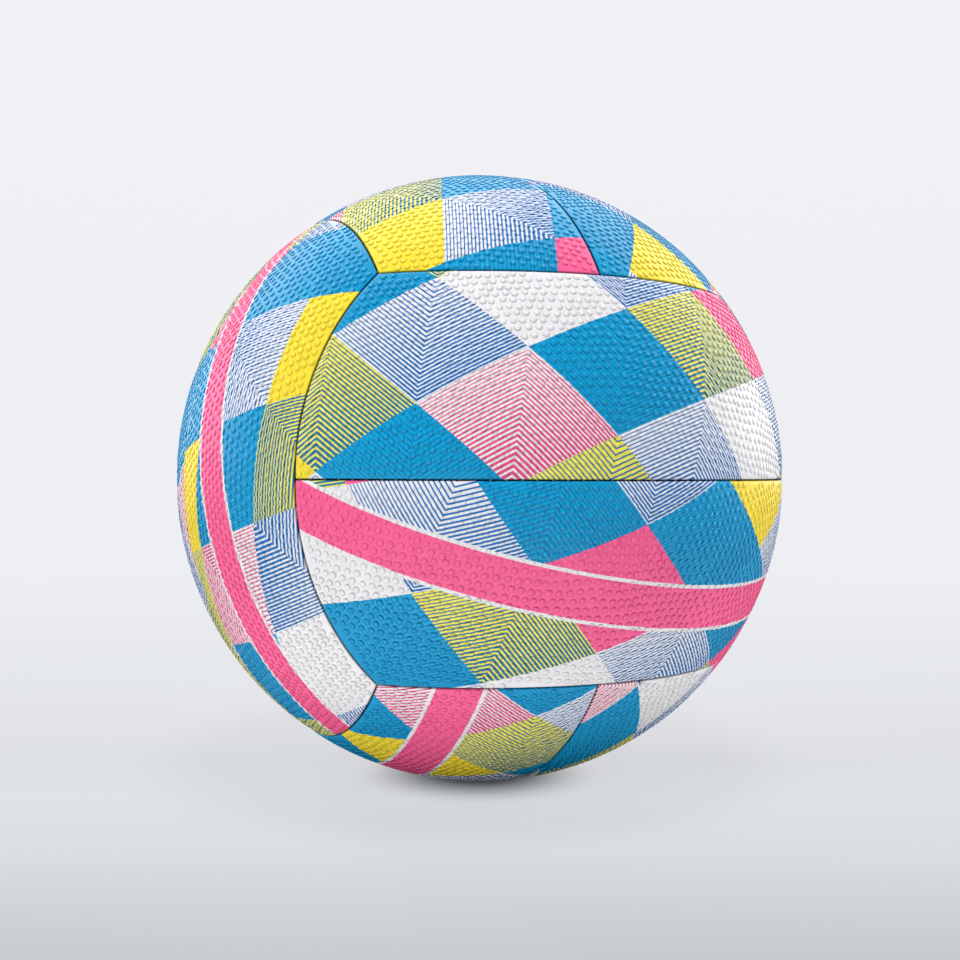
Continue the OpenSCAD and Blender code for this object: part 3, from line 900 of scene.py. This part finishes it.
def makeFloor():
    material, tree = newMaterial("studioFloor")
    place = addNode(tree, "ShaderNodeTexCoord")["Object"]
    depth = addNode(tree, vectorNode, dot, [place, away])["Value"]
    distance = addNode(tree, vectorNode, length, [place])["Value"]
    sideways = addNode(tree, vectorNode, {"operation": "CROSS_PRODUCT"}, [place, away])[0]
    sideways = addNode(tree, vectorNode, length, [sideways])["Value"]
    # What the camera sees: the tone at this depth, or the horizon's far off and to the sides
    first, last = floorTones[0][0], floorTones[-1][0]
    tones = [((deep - first) / (last - first), linear(tone)) for deep, tone in floorTones]
    tone = addNode(tree, rangeNode, None, between(depth, (first, last)))[0]
    tone = addNode(tree, "ShaderNodeValToRGB", {"stops": ("LINEAR", tones)}, [tone])["Color"]
    farOff = addNode(tree, rangeNode, smooth, between(distance, floorLook["farOff"]))[0]
    aside = addNode(tree, rangeNode, smooth, between(sideways, floorLook["aside"]))[0]
    before = addNode(tree, rangeNode, smooth, between(depth, floorLook["asideDepth"]))[0]
    aside = addNode(tree, mathNode, times, [aside, before])[0]
    farOff = addNode(tree, mathNode, {"operation": "MAXIMUM"}, [farOff, aside])[0]
    horizon = linear(studio["horizon"])
    tone = addNode(tree, mixNode, colours, {0: farOff, 6: tone, 7: horizon})[2]
    seen = addNode(tree, "ShaderNodeEmission", None, {"Color": tone})[0]
    # The ball's shadow, from a painted floor that shows through near the ball
    near = between(distance, floorLook["shadow"], (0.0, 1 - floorLook["shadowLeft"]))
    near = addNode(tree, rangeNode, smooth, near)[0]
    near = addNode(tree, mathNode, minus, [1.0, near])[0]
    far = addNode(tree, rangeNode, smooth, between(distance, floorLook["shadowEnd"], (1.0, 0.0)))[0]
    fade = addNode(tree, mathNode, times, [near, far])[0]
    fade = addNode(tree, mathNode, minus, [1.0, fade])[0]
    paint = addNode(tree, "ShaderNodeBsdfDiffuse", None, {"Color": linear(floorLook["paint"])})[0]
    seen = addNode(tree, blendNode, None, [fade, paint, seen])[0]
    # What the ball gets from the floor: a glow round the place where it stands
    risen = between(distance, floorLook["glowStart"], (0.0, floorLook["glow"]))
    risen = addNode(tree, rangeNode, smooth, risen)[0]
    spent = between(distance, floorLook["glowEnd"], (1.0, floorLook["glowLeft"]))
    spent = addNode(tree, rangeNode, smooth, spent)[0]
    rays = addNode(tree, "ShaderNodeLightPath")
    mirrored = addNode(tree, mathNode, timesPlus, [rays["Is Glossy Ray"], floorLook["mirrored"] - 1, 1.0])[0]
    given = addNode(tree, mathNode, times, [risen, spent])[0]
    given = addNode(tree, mathNode, times, [given, mirrored])[0]
    glow = addNode(tree, "ShaderNodeEmission", None, {"Color": white, "Strength": given})[0]
    shown = addNode(tree, blendNode, None, [rays["Is Camera Ray"], glow, seen])[0]
    under = addNode(tree, "ShaderNodeNewGeometry")["Backfacing"]  # from below one sees through it
    clear = addNode(tree, "ShaderNodeBsdfTransparent")[0]
    shown = addNode(tree, blendNode, None, [under, shown, clear])[0]
    addNode(tree, "ShaderNodeOutputMaterial", None, {"Surface": shown})
    material.cycles.emission_sampling = "NONE"
    half = floorLook["size"] / 2
    mesh = bpy.data.meshes.new("floor")
    corners = [(-half, -half, 0), (half, -half, 0), (half, half, 0), (-half, half, 0)]
    mesh.from_pydata(corners, [], [(0, 1, 2, 3)])
    mesh.materials.append(material)
    floor = bpy.data.objects.new("floor", mesh)
    floor.location.z = floorLevel
    bpy.context.scene.collection.objects.link(floor)


def makeWorld():
    world = bpy.data.worlds.new("studio")
    world.use_nodes = True
    tree = world.node_tree
    tree.nodes.clear()
    way = addNode(tree, "ShaderNodeTexCoord")["Generated"]
    height = addNode(tree, "ShaderNodeSeparateXYZ", None, [way])["Z"]
    rise = addNode(tree, rangeNode, None, between(height, studio["aboveFrom"]))[0]
    seen = {0: rise, 6: linear(studio["horizon"]), 7: linear(studio["above"])}
    seen = addNode(tree, mixNode, colours, seen)[2]
    shown = addNode(tree, "ShaderNodeBackground", None, {"Color": seen, "Strength": 1.0})[0]
    depth = addNode(tree, vectorNode, dot, [way, away])["Value"]
    lights = []
    for kind in ("light", "mirror"):
        strength = between(depth, studio[kind + "Turn"], (studio[kind + "Before"], studio[kind + "Behind"]))
        strength = addNode(tree, rangeNode, smooth, strength)[0]
        lights.append(addNode(tree, "ShaderNodeBackground", None, {"Color": white, "Strength": strength})[0])
    rays = addNode(tree, "ShaderNodeLightPath")
    light = addNode(tree, blendNode, None, [rays["Is Glossy Ray"], *lights])[0]
    mixed = addNode(tree, blendNode, None, [rays["Is Camera Ray"], light, shown])[0]
    addNode(tree, "ShaderNodeOutputWorld", None, {"Surface": mixed})
    bpy.context.scene.world = world


lamps = [  # name, place in metres with X to the camera's right and Y away from it, side, watts
    ("keyLamp", (0.05, -0.45, 1.45), 0.4, 16.4),
    ("leftLamp", (-1.2, -0.85, 0.1), 0.5, 8.9),
    ("rightLamp", (1.2, -0.85, 0.1), 0.5, 4.0),
    ("leftBackLamp", (-1.0, 0.9, 1.0), 0.4, 10.0),
    ("rightBackLamp", (1.2, 0.6, 0.3), 0.4, 7.0),
]


def makeLamps():
    right = away.cross(Vector((0, 0, 1)))
    for name, (x, y, z), side, watts in lamps:
        data = bpy.data.lights.new(name, "AREA")
        data.shape, data.size, data.energy = "SQUARE", side, watts
        lamp = bpy.data.objects.new(name, data)
        lamp.location = right * x + away * y + Vector((0, 0, z))
        lamp.visible_glossy = False
        lamp.rotation_mode = "QUATERNION"
        lamp.rotation_quaternion = (-lamp.location).to_track_quat("-Z", "Y")
        bpy.context.scene.collection.objects.link(lamp)


def makeCamera():
    radius, side = ball["radius"], photoView["imageSide"]
    focalPixels = photoView["ballPixels"] * math.sqrt(photoView["distance"] ** 2 - 1)
    data = bpy.data.cameras.new("photoCamera")
    data.sensor_width = photoView["sensorWidth"]
    data.lens = data.sensor_width * focalPixels / side
    data.clip_start, data.clip_end = photoView["seen"]
    camera = bpy.data.objects.new("photoCamera", data)
    camera.location = back * radius * photoView["distance"]
    camera.rotation_mode = "QUATERNION"
    facing = (-back).to_track_quat("-Z", "Y")
    offX, offY = [(place - side / 2) / focalPixels for place in photoView["middle"]]
    # Puts the ball's middle on its pixel
    aim = Vector((offX, -offY, -1)).rotation_difference(Vector((0, 0, -1)))
    roll = Matrix.Rotation(math.radians(photoView["roll"]), 3, "Z").to_quaternion()
    camera.rotation_quaternion = facing @ aim @ roll
    bpy.context.scene.collection.objects.link(camera)
    bpy.context.scene.camera = camera


makeFloor()
makeWorld()
makeLamps()
makeCamera()
bpy.context.scene.view_settings.view_transform = "Standard"
print("studio made")
